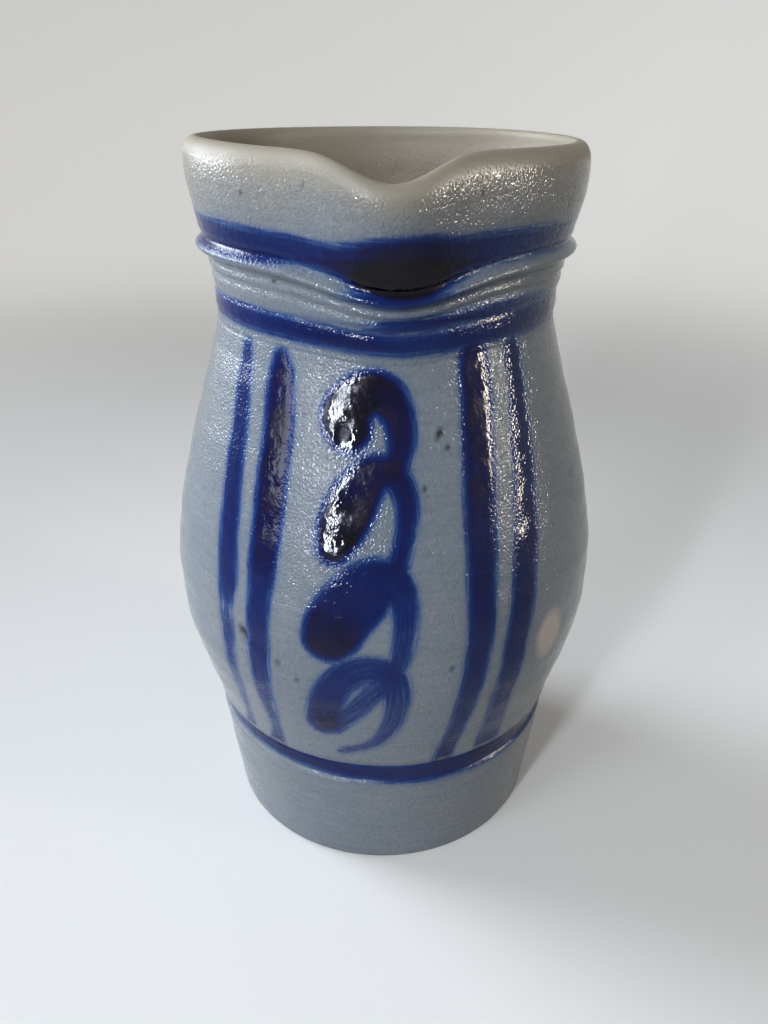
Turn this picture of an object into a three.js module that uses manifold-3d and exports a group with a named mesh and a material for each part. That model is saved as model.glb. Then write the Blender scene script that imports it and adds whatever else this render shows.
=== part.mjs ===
// A salt-glazed stoneware jug: a thrown body with a pouring lip pulled out of its collar,
// and a strap handle that was pulled by itself and luted onto the back.
// Millimetres, +Z up. The origin is the centre of the base, the pouring lip faces -Y
// and the handle stands at +Y.
import * as THREE from 'three';
import { mergeVertices } from 'three/addons/utils/BufferGeometryUtils.js';
import Module from 'manifold-3d';

// Heights of the body, stacked from the table up
const FOOT_HEIGHT = 34.5;
const WAIST_HEIGHT = 8;
const BELLY_RISE = 43.5;
const SHOULDER_RISE = 72;
const NECK_HEIGHT = 13.5;
const CORDON_HEIGHT = 5;
const COLLAR_HEIGHT = 23.5;

// Radii of the outside
const BASE_RADIUS = 49.6;
const BASE_EDGE = 1.2;
const FOOT_TOP_RADIUS = 53.4;
const FOOT_TOP_EDGE = 1;
const WAIST_DEPTH = 0.7;
const BELLY_START_RADIUS = 54.4;
const BELLY_RADIUS = 62.4;
const NECK_RADIUS = 45.5;
const CORDON_RADIUS = 48.1;
const COLLAR_RADIUS = 47.6;
const RIM_RADIUS = 51.3;

// How the belly swells: the slope that it starts with, and how far each end of its two
// curves holds its own direction, as shares of that curve's height
const BELLY_START_SLOPE = 0.26;
const BELLY_START_HOLD = 0.56;
const BELLY_END_HOLD = 0.43;
const SHOULDER_START_HOLD = 0.33;
const SHOULDER_END_HOLD = 0.1;

// Turned lines on the neck
const NECK_STEP_HEIGHT = 5.4;
const NECK_STEP_DEPTH = 0.4;
const NECK_STEP_LENGTH = 0.8;
const NECK_RIDGE_HEIGHT = 9;
const NECK_RIDGE_PROUD = 0.35;
const NECK_RIDGE_LENGTH = 4;
const CORDON_GROOVE_DEPTH = 0.8;
const CORDON_GROOVE_LENGTH = 1.6;

// The rolled lip: its height outside and inside, and where its crest stands in the wall
const LIP_OUTER_HEIGHT = 5.5;
const LIP_INNER_HEIGHT = 3;
const LIP_CREST_SHARE = 0.72;

// Thickness of the thrown wall and floor
const WALL = 5;
const FLOOR = 8;
const INSIDE_CORNER = 11;

// The pouring lip: how far it is pulled out and how wide, how deep it dips and how wide that
// is at the rim and on the neck, and how far below the rim the pull and the dip begin
const SPOUT_PULL = 9;
const SPOUT_WIDTH = 30;
const SPOUT_PULL_REACH = 55;
const SPOUT_GATHER = 1.4;
const SPOUT_DIP = 5.4;
const SPOUT_DIP_WIDTH = 20;
const SPOUT_DIP_REACH = 70;
const NECK_DIP_WIDTH = 38;

// The strap handle
const HANDLE_TOP_BELOW_RIM = 16.5;
const HANDLE_LANDING_BELOW_TOP = 76;
const HANDLE_TAIL = 15;
const HANDLE_REACH = 84;
const HANDLE_BEND_BELOW_TOP = 26;
const HANDLE_WIDTH_TOP = 27;
const HANDLE_WIDTH_BOTTOM = 21;
const HANDLE_THICKNESS = 9.5;
const HANDLE_TAIL_THICKNESS = 6;
const HANDLE_GROOVE_DEPTH = 0.9;
const HANDLE_GROOVES = 2;
const HANDLE_ROOT_FLARE = 6;
const HANDLE_ROOT_FLARE_LENGTH = 12;
const HANDLE_BURIED = 4;
const SEAM_GAP = 0.3;

// Shape of the strap: under 1 squares its section, the tail narrows by this share, and the
// curve holds its direction under the bend and over the landing for these shares of its fall
const STRAP_SQUARENESS = 0.7;
const TAIL_NARROWING = 0.45;
const BEND_HOLD = 0.5;
const LANDING_HOLD = 0.33;

// Fineness of the mesh: steps round the body and along each curve of its outline, how far the
// steps of the ring draw together at the lip, and steps along and around the strap
const RING_STEPS = 60;
const RING_CROWDING = 0.5;
const EDGE_STEPS = 3;
const WAIST_STEPS = 3;
const BELLY_STEPS = 7;
const SHOULDER_STEPS = 12;
const BEAD_STEPS = 4;
const FLARE_STEPS = 5;
const LIP_STEPS = 4;
const INSIDE_BELLY_STEPS = 5;
const INSIDE_SHOULDER_STEPS = 9;
const HANDLE_STEPS = 40;
const SECTION_STEPS = 24;
const MERGE_TOLERANCE = 1e-4;

// Levels that the stacked heights give
const Z_WAIST = FOOT_HEIGHT;
const Z_BELLY = Z_WAIST + WAIST_HEIGHT;
const Z_WIDEST = Z_BELLY + BELLY_RISE;
const Z_NECK = Z_WIDEST + SHOULDER_RISE;
const Z_CORDON = Z_NECK + NECK_HEIGHT;
const Z_COLLAR = Z_CORDON + CORDON_HEIGHT;
const Z_RIM = Z_COLLAR + COLLAR_HEIGHT;

const wasm = await Module();
wasm.setup();

const point = (radius, height) => new THREE.Vector2(radius, height);

// Points of a plane curve without its first one, so that curves can be chained
function along(curve, steps) {
  return curve.getPoints(steps).slice(1);
}

// The swelling belly and shoulder, moved in by an inset for the inside of the wall
function bellyCurves(inset) {
  const start = point(BELLY_START_RADIUS - inset, Z_BELLY);
  const widest = point(BELLY_RADIUS - inset, Z_WIDEST);
  const neck = point(NECK_RADIUS - inset, Z_NECK);
  const startHold = BELLY_RISE * BELLY_START_HOLD;
  const lower = new THREE.CubicBezierCurve(
    start,
    point(start.x + startHold * BELLY_START_SLOPE, start.y + startHold),
    point(widest.x, widest.y - BELLY_RISE * BELLY_END_HOLD),
    widest,
  );
  const upper = new THREE.CubicBezierCurve(
    widest,
    point(widest.x, widest.y + SHOULDER_RISE * SHOULDER_START_HOLD),
    point(neck.x, neck.y - SHOULDER_RISE * SHOULDER_END_HOLD),
    neck,
  );
  return { lower, upper };
}

// A quarter of an ellipse between two points, leaving the first one along the height
function quarter(from, to) {
  return new THREE.QuadraticBezierCurve(from, point(from.x, to.y), to);
}

// The tapered foot, the shallow waist over it and the start of the belly
function footOutline() {
  const footEdge = point(FOOT_TOP_RADIUS, Z_WAIST - FOOT_TOP_EDGE);
  const waistRadius = FOOT_TOP_RADIUS - WAIST_DEPTH;
  return [
    point(0, 0),
    point(BASE_RADIUS - BASE_EDGE, 0),
    ...along(new THREE.QuadraticBezierCurve(
      point(BASE_RADIUS - BASE_EDGE, 0), point(BASE_RADIUS, 0), point(BASE_RADIUS, BASE_EDGE)), EDGE_STEPS),
    footEdge,
    ...along(quarter(footEdge, point(waistRadius, Z_WAIST)), EDGE_STEPS),
    ...along(new THREE.QuadraticBezierCurve(
      point(waistRadius, Z_WAIST),
      point(waistRadius, Z_BELLY - WAIST_DEPTH),
      point(BELLY_START_RADIUS, Z_BELLY)), WAIST_STEPS),
  ];
}

// The neck with its turned step and ridge, up to the underside of the cordon
function neckOutline() {
  const step = Z_NECK + NECK_STEP_HEIGHT;
  const ridge = Z_NECK + NECK_RIDGE_HEIGHT;
  const neck = NECK_RADIUS;
  return [
    point(neck, step - NECK_STEP_LENGTH),
    point(neck - NECK_STEP_DEPTH, step),
    point(neck - NECK_STEP_DEPTH / 2, step + NECK_STEP_LENGTH),
    point(neck + NECK_RIDGE_PROUD, ridge),
    point(neck, ridge + NECK_RIDGE_LENGTH / 2),
  ];
}

// The rounded cordon, the line cut over it, and the collar that flares up to the lip
function collarOutline() {
  const bead = new THREE.QuadraticBezierCurve(
    point(CORDON_RADIUS - CORDON_GROOVE_DEPTH, Z_CORDON + CORDON_GROOVE_LENGTH / 2),
    point(CORDON_RADIUS + CORDON_GROOVE_DEPTH, (Z_CORDON + Z_COLLAR - CORDON_GROOVE_LENGTH / 2) / 2),
    point(COLLAR_RADIUS - CORDON_GROOVE_DEPTH / 2, Z_COLLAR - CORDON_GROOVE_LENGTH / 2),
  );
  const lipStart = point(RIM_RADIUS, Z_RIM - LIP_OUTER_HEIGHT);
  const flare = new THREE.QuadraticBezierCurve(
    point(COLLAR_RADIUS, Z_COLLAR + CORDON_GROOVE_LENGTH / 2),
    point(RIM_RADIUS, (Z_COLLAR + Z_RIM) / 2 + LIP_OUTER_HEIGHT),
    lipStart,
  );
  return [...bead.getPoints(BEAD_STEPS), ...flare.getPoints(FLARE_STEPS)];
}

// The outside from the centre of the base to the crest of the lip
function outsideOutline() {
  const { lower, upper } = bellyCurves(0);
  const lipStart = point(RIM_RADIUS, Z_RIM - LIP_OUTER_HEIGHT);
  const crest = point(RIM_RADIUS - WALL * LIP_CREST_SHARE, Z_RIM);
  return [
    ...footOutline(),
    ...along(lower, BELLY_STEPS),
    ...along(upper, SHOULDER_STEPS),
    ...neckOutline(),
    ...collarOutline(),
    ...along(quarter(lipStart, crest), LIP_STEPS),
  ];
}

// The inside from below the crest of the lip to the centre of the floor
function insideOutline() {
  const { lower, upper } = bellyCurves(WALL);
  const crest = point(RIM_RADIUS - WALL * LIP_CREST_SHARE, Z_RIM);
  const lipEnd = point(RIM_RADIUS - WALL, Z_RIM - LIP_INNER_HEIGHT);
  const floorRadius = BASE_RADIUS - WALL;
  const cornerTop = point(floorRadius, FLOOR + INSIDE_CORNER);
  return [
    ...along(new THREE.QuadraticBezierCurve(crest, point(lipEnd.x, crest.y), lipEnd), EDGE_STEPS),
    ...along(new THREE.QuadraticBezierCurve(
      lipEnd, point(COLLAR_RADIUS - WALL, Z_COLLAR), point(NECK_RADIUS - WALL, Z_CORDON)), FLARE_STEPS),
    ...upper.getPoints(INSIDE_SHOULDER_STEPS).reverse(),
    ...lower.getPoints(INSIDE_BELLY_STEPS).reverse().slice(1),
    cornerTop,
    ...along(quarter(cornerTop, point(floorRadius - INSIDE_CORNER, FLOOR)), LIP_STEPS),
    point(0, FLOOR),
  ];
}

// Turns an outline about the axis, with the steps of the ring drawn together at the lip
function turned(outline) {
  const geometry = new THREE.LatheGeometry(outline, RING_STEPS);
  geometry.rotateX(Math.PI / 2);
  const position = geometry.attributes.position;
  for (let i = 0; i < position.count; i += 1) {
    const radius = Math.hypot(position.getX(i), position.getY(i));
    const even = Math.atan2(position.getX(i), -position.getY(i));
    const angle = even - RING_CROWDING * Math.sin(even);
    position.setXYZ(i, radius * Math.sin(angle), -radius * Math.cos(angle), position.getZ(i));
  }
  return geometry;
}

// Pulls the lip: the front of the wall is drawn out and down, most at the rim, and the turned
// lines of the neck are dragged down with it in a wider sag
function pullSpout(geometry) {
  const { lerp, smoothstep } = THREE.MathUtils;
  const position = geometry.attributes.position;
  for (let i = 0; i < position.count; i += 1) {
    const x = position.getX(i);
    const y = position.getY(i);
    const z = position.getZ(i);
    const radius = Math.hypot(x, y);
    const fromFront = RIM_RADIUS * Math.atan2(x, -y);
    const bell = (width) => Math.exp(-Math.pow(fromFront / (width / 2), 2));
    const gathered = (reach) => Math.max(0, 1 - (Z_RIM - z) / reach);
    const dipWidth = lerp(NECK_DIP_WIDTH, SPOUT_DIP_WIDTH, smoothstep(z, Z_COLLAR, Z_RIM));
    const pull = SPOUT_PULL * bell(SPOUT_WIDTH) * Math.pow(gathered(SPOUT_PULL_REACH), SPOUT_GATHER);
    const dip = SPOUT_DIP * bell(dipWidth) * gathered(SPOUT_DIP_REACH);
    const grown = radius > 0 ? 1 + pull / radius : 1;
    position.setXYZ(i, x * grown, y * grown, z - dip);
  }
  return geometry;
}

// A solid from a closed mesh, once its shared points are merged
function toSolid(geometry) {
  const bare = new THREE.BufferGeometry();
  bare.setAttribute('position', geometry.attributes.position.clone());
  bare.setIndex(geometry.index);
  const merged = mergeVertices(bare, MERGE_TOLERANCE);
  const index = merged.index.array;
  const kept = [];
  for (let i = 0; i < index.length; i += 3) {
    const [a, b, c] = [index[i], index[i + 1], index[i + 2]];
    if (a !== b && b !== c && c !== a) kept.push(a, b, c);
  }
  return new wasm.Manifold(new wasm.Mesh({
    numProp: 3,
    vertProperties: new Float32Array(merged.attributes.position.array),
    triVerts: new Uint32Array(kept),
  }));
}

function toGeometry(solid) {
  const mesh = solid.getMesh();
  const geometry = new THREE.BufferGeometry();
  geometry.setAttribute('position', new THREE.BufferAttribute(new Float32Array(mesh.vertProperties), 3));
  geometry.setIndex(new THREE.BufferAttribute(new Uint32Array(mesh.triVerts), 1));
  geometry.computeVertexNormals();
  return geometry;
}

// The outside radius at a height, read off the outline
function radiusAt(height) {
  const outline = outsideOutline();
  for (let i = 1; i < outline.length; i += 1) {
    const [low, high] = [outline[i - 1], outline[i]];
    if (high.y > low.y && height >= low.y && height <= high.y) {
      return THREE.MathUtils.mapLinear(height, low.y, high.y, low.x, high.x);
    }
  }
  return RIM_RADIUS;
}

// The filled outside of the body, grown by a gap, that the ends of the handle are cut to
function bodyFilled(gap) {
  const outline = outsideOutline().map((p) => point(p.x === 0 ? 0 : p.x + gap, p.y));
  outline.push(point(0, Z_RIM));
  return toSolid(turned(outline));
}

// The middle line of the handle: out of the collar, over a bend, down to its landing on the
// shoulder, and on along the wall as the tail that the thumb pressed down
function handlePath() {
  const topHeight = Z_RIM - HANDLE_TOP_BELOW_RIM;
  const landingHeight = topHeight - HANDLE_LANDING_BELOW_TOP;
  const tailHeight = landingHeight - HANDLE_TAIL;
  const bendHeight = topHeight - HANDLE_BEND_BELOW_TOP;
  const half = HANDLE_THICKNESS / 2;
  const crown = topHeight + half;
  const inPlane = (y, z) => new THREE.Vector3(0, y, z);
  const top = inPlane(radiusAt(topHeight) - HANDLE_BURIED, topHeight);
  const bend = inPlane(HANDLE_REACH, bendHeight);
  const landing = inPlane(radiusAt(landingHeight) + half / 2, landingHeight);
  const tail = inPlane(radiusAt(tailHeight), tailHeight);
  const fall = bendHeight - landingHeight;
  const path = new THREE.CurvePath();
  path.add(new THREE.CubicBezierCurve3(
    top, inPlane((top.y + bend.y) / 2, crown), inPlane(bend.y, crown), bend));
  path.add(new THREE.CubicBezierCurve3(
    bend,
    inPlane(bend.y, bendHeight - fall * BEND_HOLD),
    inPlane(landing.y + half, landingHeight + fall * LANDING_HOLD),
    landing,
  ));
  path.add(new THREE.QuadraticBezierCurve3(
    landing, inPlane(landing.y - half / 2, landingHeight - HANDLE_TAIL / 2), tail));
  return path;
}

// One ring of the strap: rounded sides, and finger grooves along its outer face
function strapSection(width, thickness) {
  const ring = [];
  const squared = (value) => Math.sign(value) * Math.pow(Math.abs(value), STRAP_SQUARENESS);
  for (let i = 0; i < SECTION_STEPS; i += 1) {
    const turn = 2 * Math.PI * i / SECTION_STEPS;
    const across = squared(Math.cos(turn)) * width / 2;
    const out = squared(Math.sin(turn)) * thickness / 2;
    const wave = (1 - Math.cos(2 * Math.PI * HANDLE_GROOVES * across / width)) / 2;
    const groove = HANDLE_GROOVE_DEPTH * wave * Math.max(0, Math.sin(turn));
    ring.push([across, out - groove]);
  }
  return ring;
}

// How much wider the strap is at a distance from where it is luted on
function flareAt(distance) {
  return HANDLE_ROOT_FLARE * Math.exp(-Math.pow(distance / HANDLE_ROOT_FLARE_LENGTH, 2));
}

// The strap is lofted ring by ring along its path, and swells where it is luted on
function handleStrap() {
  const { lerp } = THREE.MathUtils;
  const path = handlePath();
  const length = path.getLength();
  const positions = [];
  const index = [];
  for (let step = 0; step <= HANDLE_STEPS; step += 1) {
    const share = step / HANDLE_STEPS;
    const centre = path.getPointAt(share);
    const tangent = path.getTangentAt(share);
    const outward = new THREE.Vector3(0, tangent.z, -tangent.y).negate();
    const toTail = (1 - share) * length;
    const topFlare = flareAt(share * length);
    const tailFlare = flareAt(toTail - HANDLE_TAIL / 2);
    const tailShare = Math.max(0, 1 - toTail / HANDLE_TAIL);
    const strap = lerp(HANDLE_WIDTH_TOP, HANDLE_WIDTH_BOTTOM, share);
    const width = (strap + topFlare + tailFlare) * (1 - TAIL_NARROWING * Math.pow(tailShare, 3));
    const thickness = lerp(HANDLE_THICKNESS, HANDLE_TAIL_THICKNESS, tailShare) + topFlare / 2;
    for (const [across, out] of strapSection(width, thickness)) {
      positions.push(centre.x + across, centre.y + outward.y * out, centre.z + outward.z * out);
    }
  }
  for (let step = 0; step < HANDLE_STEPS; step += 1) {
    for (let i = 0; i < SECTION_STEPS; i += 1) {
      const next = (i + 1) % SECTION_STEPS;
      const [a, b] = [step * SECTION_STEPS + i, step * SECTION_STEPS + next];
      const [c, d] = [a + SECTION_STEPS, b + SECTION_STEPS];
      index.push(a, d, b, a, c, d);
    }
  }
  const lastRing = HANDLE_STEPS * SECTION_STEPS;
  for (let i = 1; i < SECTION_STEPS - 1; i += 1) {
    index.push(0, i, i + 1);
    index.push(lastRing, lastRing + i + 1, lastRing + i);
  }
  const geometry = new THREE.BufferGeometry();
  geometry.setAttribute('position', new THREE.Float32BufferAttribute(positions, 3));
  geometry.setIndex(index);
  return geometry;
}

function makeBody() {
  const geometry = pullSpout(turned([...outsideOutline(), ...insideOutline()]));
  return toGeometry(toSolid(geometry));
}

function makeHandle() {
  return toGeometry(toSolid(handleStrap()).subtract(bodyFilled(SEAM_GAP)));
}

function named(name, geometry, material) {
  const mesh = new THREE.Mesh(geometry, material);
  mesh.name = name;
  return mesh;
}

const bodyStoneware = new THREE.MeshStandardMaterial({ color: 0x8e989e, roughness: 0.35, metalness: 0 });
const handleStoneware = new THREE.MeshStandardMaterial({ color: 0x8b959b, roughness: 0.35, metalness: 0 });

const jug = new THREE.Group();
jug.name = 'stoneware_jug';
jug.add(named('jug_body', makeBody(), bodyStoneware));
jug.add(named('handle', makeHandle(), handleStoneware));

export default jug;
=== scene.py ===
"""A salt-glazed stoneware jug with cobalt brushwork, dressed around its packed frame.

Metres, +Z up, the pouring lip towards -Y and the handle towards +Y. The jug is one thrown
body, one pulled strap handle, and the glaze and the cobalt on them.
"""

import math

import bmesh
import bpy
import numpy as np
from bpy.props import FloatProperty, FloatVectorProperty, IntProperty, PointerProperty
from mathutils import Matrix, Vector
from mathutils.geometry import interpolate_bezier


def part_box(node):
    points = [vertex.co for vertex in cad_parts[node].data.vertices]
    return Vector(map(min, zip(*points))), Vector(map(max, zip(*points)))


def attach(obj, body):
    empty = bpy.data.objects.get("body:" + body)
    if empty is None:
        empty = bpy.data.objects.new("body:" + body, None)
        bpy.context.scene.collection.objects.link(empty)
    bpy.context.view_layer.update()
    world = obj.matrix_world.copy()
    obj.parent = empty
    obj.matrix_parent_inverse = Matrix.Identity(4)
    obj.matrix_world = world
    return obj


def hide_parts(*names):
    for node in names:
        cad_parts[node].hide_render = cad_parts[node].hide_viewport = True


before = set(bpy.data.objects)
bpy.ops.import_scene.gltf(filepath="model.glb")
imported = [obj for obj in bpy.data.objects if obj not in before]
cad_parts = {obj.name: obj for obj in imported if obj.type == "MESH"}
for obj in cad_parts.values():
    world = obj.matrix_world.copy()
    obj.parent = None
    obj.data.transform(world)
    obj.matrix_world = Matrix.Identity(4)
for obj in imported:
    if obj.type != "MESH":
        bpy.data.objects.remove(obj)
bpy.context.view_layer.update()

bl_info = {
    "name": "Salt-Glazed Jug",
    "version": (1, 0, 0),
    "blender": (4, 5, 0),
    "location": "3D View > Sidebar > Jug",
    "description": "Throws, paints and glazes a stoneware jug in its frame",
    "category": "Add Mesh",
}

MM = 0.001
BODY_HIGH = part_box("jug_body")[1]

# Turned lines from the foot to the collar: height over the table, how far each stands out of
# the wall and its half width, in millimetres
TURNED_LINES = {
    "line under the ledge": (41.0, -0.35, 0.7),
    "ledge of the belly": (43.2, 0.6, 0.8),
    "faint shoulder line": (151.8, -0.06, 0.5),
    "lower incised line": (157.2, -0.3, 0.3),
    "upper incised line": (158.7, -0.26, 0.28),
    "swell under the step": (161.6, 0.25, 1.6),
    "step line": (165.2, -0.5, 0.4),
    "low ridge": (168.0, 0.3, 1.1),
    "groove between the ridges": (169.9, -0.3, 0.7),
    "upper ridge": (171.3, 0.35, 0.7),
    "groove under the cordon": (172.9, -0.3, 0.6),
    "cordon": (175.5, 2.3, 1.55),
    "groove over the cordon": (178.2, -0.5, 0.6),
    "faint collar line": (181.4, -0.12, 0.5),
}

# Small dents and lumps of the outside: degrees round from the lip, then height, half width and
# how far each stands out, in millimetres
BLEMISHES = {
    "pit by the left stripes": (-35.4, 84.2, 1.5, -0.6),
    "lower rim of the pit": (-33.6, 81.6, 0.9, 0.5),
    "burst bubble in the first curl": (-11.2, 139.8, 1.7, -0.6),
    "rim of the burst bubble": (-13.4, 138.8, 0.8, 0.4),
    "grit over the neck line": (-12.4, 163.9, 0.9, 0.35),
    "grit on the collar": (12, 190.5, 0.8, 0.2),
}

# Iron specks: degrees round from the lip, height and half width in millimetres
SPECKS = (
    (14.1, 139.3, 0.8), (15, 140.3, 0.9), (16.7, 136.4, 0.7), (28, 66.5, 0.9),
    (16.3, 80.3, 0.7), (10, 127.5, 0.6), (22, 192, 0.6), (-38, 191, 0.5),
    (-18.5, 193, 0.45), (-32.5, 172.3, 0.6), (-35.9, 85.3, 1.6), (-34.7, 83.3, 1.4),
    (-40, 91, 0.9), (-26, 79, 0.8), (-21, 75, 0.7), (-11, 139.8, 1.4), (62, 120, 0.7),
    (-70, 64, 0.7), (98, 150, 0.8), (128, 61, 0.9), (151, 118, 0.6),
    (-101, 131, 0.7), (-139, 92, 0.8), (-160, 187, 0.6), (118, 189, 0.5),
)

# Brush strokes. A knot is degrees round from the lip, height and half width in millimetres,
# and load: 0.3 a thin wash, 0.7 full blue, 1 a near-black pool
STROKES = {
    "first curl": (
        (-9.2, 140.8, 5.1, 1.1), (-10.5, 143.6, 5.9, 1.15), (-7.9, 147.2, 5.3, 1.1),
        (-3.2, 149.1, 4.9, 1.1), (1, 147.6, 4.4, 1.0), (3.9, 142.8, 3.5, 0.94),
        (4.4, 138, 3.1, 0.88), (3.2, 133.4, 2.8, 0.84),
    ),
    "second curl": (
        (-12, 113.8, 4.1, 1.05), (-10.6, 117.6, 5.6, 1.1), (-8.6, 122.4, 6, 1.05),
        (-6.2, 127, 5.5, 0.95), (-3, 131, 4.4, 0.88), (0.8, 131.4, 3.7, 0.88),
        (3.9, 129.2, 3.1, 0.84), (5.6, 124.6, 2.7, 0.8), (5.4, 119, 2.4, 0.76),
        (4.4, 114, 2.3, 0.74), (3.4, 109.6, 2.3, 0.72),
    ),
    "third curl": (
        (-12.6, 90.2, 6.8, 0.96), (-11.2, 93.2, 7.7, 0.95), (-8.7, 97.6, 7.9, 0.8),
        (-5.4, 102, 7.6, 0.74), (-2, 105.4, 6.6, 0.72), (1.5, 106, 5.2, 0.7),
        (4.1, 102.6, 4, 0.62), (5.1, 97, 3.3, 0.54), (4.9, 91, 2.9, 0.52),
        (4, 85.4, 2.7, 0.5), (3, 82, 2.6, 0.5),
    ),
    "fourth curl": (
        (-15.6, 60.2, 4.4, 0.8), (-14.9, 64, 4.7, 0.8), (-13.6, 69.6, 4.6, 0.7),
        (-11.2, 75.6, 4.5, 0.6), (-7.2, 80.2, 4.4, 0.54), (-2.4, 81.8, 4.1, 0.52),
        (1.9, 79.6, 3.9, 0.54), (3.3, 74.8, 3.7, 0.52), (3.4, 69.6, 3.3, 0.5),
        (2.8, 63.6, 2.8, 0.48), (1.2, 58.4, 2.4, 0.48), (-1.6, 53.9, 1.8, 0.5),
        (-5.6, 51, 1.4, 0.62), (-9.2, 49.2, 1.1, 0.72), (-11.4, 47.9, 0.9, 0.7),
    ),
    "fourth curl, second pass": (
        (-13.4, 60.2, 3.9, 0.66), (-10, 63.8, 3.4, 0.54), (-6.6, 67.6, 3.1, 0.48),
        (-3.6, 71.8, 3, 0.48), (-0.4, 76, 3.4, 0.5), (2, 79, 3.4, 0.5),
    ),
    "outer left stripe": (
        (-46.6, 155.4, 1.7, 0.64), (-46, 150, 2.2, 0.66), (-44.4, 138, 2.9, 0.68),
        (-42.9, 120, 3.3, 0.7), (-41.4, 101, 3.5, 0.7), (-41.4, 94, 3, 0.6),
        (-41.6, 90, 2.5, 0.34), (-41.5, 85, 2.6, 0.5), (-42, 70, 2.2, 0.42),
        (-42.4, 56, 1.6, 0.4), (-43.6, 48, 1.6, 0.5), (-46.4, 42, 2.2, 0.6),
    ),
    "inner left stripe": (
        (-32, 154.4, 2.4, 0.82), (-31.2, 149, 3.7, 0.88), (-30.2, 139, 4.1, 0.92),
        (-30.1, 125, 4.3, 0.92), (-30.1, 108, 4.2, 0.86), (-30.6, 99, 3.6, 0.66),
        (-31, 90, 3.4, 0.7), (-31.6, 76, 3.3, 0.6), (-31.9, 60, 2.4, 0.46),
        (-32, 50, 1.8, 0.46), (-33.6, 42, 2.6, 0.6),
    ),
    "inner right stripe": (
        (26.4, 156, 3.6, 0.88), (26.4, 148, 4, 0.92), (25.8, 138, 4.1, 0.92),
        (24.6, 124, 4.2, 0.88), (23.8, 106, 4, 0.8), (23.3, 88, 3.6, 0.76),
        (21.6, 70, 3.2, 0.7), (20.4, 58, 2.7, 0.66), (18.8, 48, 2.6, 0.74),
        (17.8, 42, 2.7, 0.8),
    ),
    "outer right stripe": (
        (41.4, 156, 2.6, 0.82), (41, 146, 2.6, 0.8), (39.8, 132, 3.3, 0.78),
        (37.8, 114, 3.8, 0.8), (35.8, 99, 4, 0.76), (33.8, 82, 3.8, 0.72),
        (32.6, 66, 3.8, 0.6), (32.8, 54, 3.8, 0.58), (33.2, 45, 4.1, 0.66),
        (33.4, 40, 4, 0.7),
    ),
}

# Bands that the brush drew while the wheel turned, with knots of the same kind
BANDS = {
    "collar band": (
        (-180, 180.4, 3.6, 0.62), (-140, 180.6, 3.8, 0.64), (-100, 180.4, 3.7, 0.6),
        (-70, 180.3, 3.8, 0.62), (-50, 180.3, 3.7, 0.64), (-35, 180.2, 3.5, 0.66),
        (-25, 180.2, 3, 0.66), (-18, 179.4, 2.8, 0.7), (-12.5, 178.4, 3.2, 0.76),
        (-8, 177.8, 4, 0.82), (-4, 177.4, 5, 0.88), (1, 177.2, 5.8, 0.92),
        (6, 177.4, 6.2, 0.92), (11, 177.7, 6, 0.9), (16, 178.4, 5.1, 0.86),
        (20, 179, 4.3, 0.8), (24, 180, 3.8, 0.7), (30, 180.6, 3.5, 0.6),
        (40, 181, 3.3, 0.52), (60, 180.6, 3.2, 0.48), (90, 180.6, 3.5, 0.56),
        (130, 180.2, 3.8, 0.66), (180, 180.4, 3.6, 0.62),
    ),
    "pool over the cordon": (
        (-180, 174.5, 0.3, 0), (-14, 176.2, 0.3, 0), (-9.5, 175.6, 1.8, 0.8),
        (-5, 174.9, 3.1, 1.1), (0, 174.6, 4, 1.3), (6, 174.6, 4.4, 1.35),
        (11, 175.1, 4.1, 1.25), (15, 176.2, 3, 0.95), (19, 177, 1.6, 0.3),
        (24, 177, 0.3, 0), (180, 174.5, 0.3, 0),
    ),
    "wash under the pool": (
        (-180, 170, 0.3, 0), (-16, 171, 0.5, 0), (-9, 170.9, 1.3, 0.4),
        (-3, 170.6, 1.8, 0.6), (4, 170.4, 2, 0.62), (12, 170.8, 1.8, 0.5),
        (22, 171.6, 1, 0.2), (36, 172, 0.3, 0), (180, 170, 0.3, 0),
    ),
    "neck band": (
        (-180, 162.2, 2.4, 0.62), (-120, 162.4, 2.6, 0.66), (-80, 162.2, 2.3, 0.62),
        (-50, 162.6, 2.5, 0.66), (-30, 162, 2.6, 0.72), (-15, 161, 2.4, 0.82),
        (-6, 160.1, 2.2, 0.8), (5, 159.6, 2.4, 0.6), (15, 160, 2.7, 0.58),
        (25, 161.1, 3, 0.62), (35, 162, 3.2, 0.66), (60, 162, 2.9, 0.64),
        (100, 162.6, 2.5, 0.64), (140, 162.2, 2.3, 0.6), (180, 162.2, 2.4, 0.62),
    ),
    "wash over the neck band": (
        (-180, 165, 0.5, 0.1), (-30, 165, 0.5, 0.12), (-6.5, 163.4, 1, 0.34),
        (0, 163.8, 1.7, 0.56), (10, 164.2, 1.9, 0.56), (20, 165.2, 1.8, 0.52),
        (30, 166.3, 1.8, 0.52), (45, 166.8, 1.6, 0.48), (60, 166.2, 1.4, 0.42),
        (85, 165.6, 1, 0.2), (120, 165, 0.5, 0.1), (180, 165, 0.5, 0.1),
    ),
    "foot line": (
        (-180, 37.4, 2.6, 0.68), (-120, 38.2, 2.5, 0.7), (-60, 39.2, 2.5, 0.74),
        (-25, 38.8, 2.6, 0.76), (0, 37.8, 3, 0.74), (20, 37.4, 3.5, 0.76),
        (45, 37.6, 3.5, 0.8), (80, 38.2, 3, 0.74), (130, 38, 2.6, 0.7),
        (180, 37.4, 2.6, 0.68),
    ),
}

# Where cobalt ran into a turned line and lies thick: height, half width and load
GATHERED = {
    "step line": (165.2, 0.45, 0.35),
    "groove over the cordon": (178.0, 0.7, 0.15),
    "groove under the cordon": (173.0, 0.5, 0.25),
    "line under the ledge": (41.2, 0.7, 0.12),
}

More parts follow.
